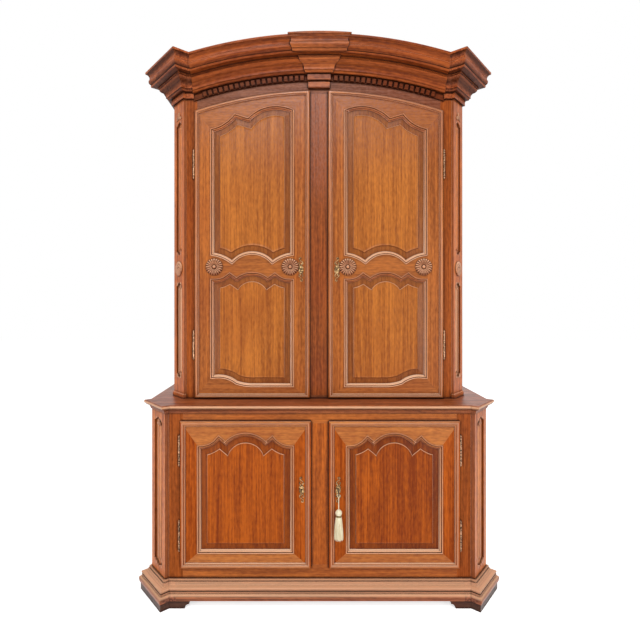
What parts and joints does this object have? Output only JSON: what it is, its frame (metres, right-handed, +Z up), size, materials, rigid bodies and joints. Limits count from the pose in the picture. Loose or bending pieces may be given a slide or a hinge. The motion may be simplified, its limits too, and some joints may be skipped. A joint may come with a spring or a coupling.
{
  "type": "cupboard",
  "caption": "Two-tier oak cupboard with canted carved corners, panelled doors on pin hinges, an arched cornice, shelves and a tasselled key.",
  "frame": {"origin": "on the floor, under the middle of the box that holds the whole cupboard", "axes": "+Z up, +Y to the back, +X to the right seen from the front"},
  "size_m": [1.7698, 0.6864, 2.656],
  "materials": {
    "oak_frame": "waxed",
    "oak_moulding": "waxed",
    "oak_panel": "waxed",
    "oak_dark": "waxed",
    "oak_inside": "plain",
    "hinge_brass": "polished",
    "aged_brass": "aged",
    "iron": "dark",
    "silk": "satin"
  },
  "bodies": {
    "case": {"base_feet": "oak_moulding", "base_plinth_front": "oak_moulding", "base_plinth_returns": "oak_moulding", "base_floor": "oak_inside", "base_corner_posts": "oak_frame", "base_face_rails": "oak_frame", "base_face_stiles": "oak_frame", "base_centre_post": "oak_dark", "base_sides": "oak_frame", "base_back_boards": "oak_inside", "base_shelf": "oak_inside", "base_top_board": "oak_moulding", "upper_floor": "oak_inside", "upper_corner_posts": "oak_frame", "upper_face_rails": "oak_frame", "upper_face_stiles": "oak_frame", "upper_centre_post": "oak_dark", "upper_sides": "oak_frame", "upper_back_boards": "oak_inside", "upper_shelves": "oak_inside", "upper_roof": "oak_inside", "cornice_keystone": "oak_moulding", "cornice_arch_mouldings": "oak_moulding", "cornice_dentil_band": "oak_moulding", "cornice_corner_blocks": "oak_moulding", "cornice_side_mouldings": "oak_moulding", "base_hinge_pins": "hinge_brass", "upper_hinge_pins": "hinge_brass"},
    "lower_left_door": {"lower_left_door_stiles": "oak_frame", "lower_left_door_rails": "oak_frame", "lower_left_door_panels": "oak_panel", "lower_left_door_hinge_halves": "hinge_brass", "lower_left_door_escutcheon": "aged_brass", "lower_left_door_lock_case": "iron"},
    "lower_left_door_bolt": {"lower_left_door_bolt": "iron"},
    "lower_right_door": {"lower_right_door_stiles": "oak_frame", "lower_right_door_rails": "oak_frame", "lower_right_door_panels": "oak_panel", "lower_right_door_hinge_halves": "hinge_brass", "lower_right_door_escutcheon": "aged_brass", "lower_right_door_lock_case": "iron"},
    "lower_right_door_bolt": {"lower_right_door_bolt": "iron"},
    "upper_left_door": {"upper_left_door_stiles": "oak_frame", "upper_left_door_rails": "oak_frame", "upper_left_door_panels": "oak_panel", "upper_left_door_hinge_halves": "hinge_brass", "upper_left_door_escutcheon": "aged_brass", "upper_left_door_lock_case": "iron"},
    "upper_left_door_bolt": {"upper_left_door_bolt": "iron"},
    "upper_right_door": {"upper_right_door_stiles": "oak_frame", "upper_right_door_rails": "oak_frame", "upper_right_door_panels": "oak_panel", "upper_right_door_hinge_halves": "hinge_brass", "upper_right_door_escutcheon": "aged_brass", "upper_right_door_lock_case": "iron"},
    "upper_right_door_bolt": {"upper_right_door_bolt": "iron"},
    "key": {"key": "iron"},
    "tassel": {"tassel_cord": "silk", "tassel": "silk"}
  },
  "joints": [
    {"name": "lower_left_door_swing", "type": "hinge", "parent": "case", "child": "lower_left_door", "pos_m": [-0.6489, -0.27481, 0.509], "axis": [0, 0, -1], "range_deg": [0, 110]},
    {"name": "lower_left_door_bolt_slide", "type": "slide", "parent": "lower_left_door", "child": "lower_left_door_bolt", "axis": [1, 0, 0], "range_m": [0, 0.012]},
    {"name": "lower_right_door_swing", "type": "hinge", "parent": "case", "child": "lower_right_door", "pos_m": [0.6489, -0.27481, 0.509], "axis": [0, 0, 1], "range_deg": [0, 110]},
    {"name": "lower_right_door_bolt_slide", "type": "slide", "parent": "lower_right_door", "child": "lower_right_door_bolt", "axis": [-1, 0, 0], "range_m": [0, 0.012]},
    {"name": "upper_left_door_swing", "type": "hinge", "parent": "case", "child": "upper_left_door", "pos_m": [-0.6129, -0.14081, 1.6235], "axis": [0, 0, -1], "range_deg": [0, 110]},
    {"name": "upper_left_door_bolt_slide", "type": "slide", "parent": "upper_left_door", "child": "upper_left_door_bolt", "axis": [1, 0, 0], "range_m": [0, 0.012]},
    {"name": "upper_right_door_swing", "type": "hinge", "parent": "case", "child": "upper_right_door", "pos_m": [0.6129, -0.14081, 1.6235], "axis": [0, 0, 1], "range_deg": [0, 110]},
    {"name": "upper_right_door_bolt_slide", "type": "slide", "parent": "upper_right_door", "child": "upper_right_door_bolt", "axis": [-1, 0, 0], "range_m": [0, 0.012]},
    {"name": "key_turn", "type": "hinge", "parent": "lower_right_door", "child": "key", "pos_m": [0.084, -0.30881, 0.528], "axis": [0, -1, 0], "range_deg": [0, 120]},
    {"name": "tassel_hang", "type": "hinge", "parent": "key", "child": "tassel", "pos_m": [0.084, -0.30881, 0.5125], "axis": [0, 1, 0], "range_deg": [0, 120]}
  ],
  "couplings": [
    {"joint": "key_turn", "follows": "lower_right_door_bolt_slide", "rad_per_m": 174.53},
    {"joint": "tassel_hang", "follows": "lower_right_door_bolt_slide", "rad_per_m": 174.53}
  ]
}
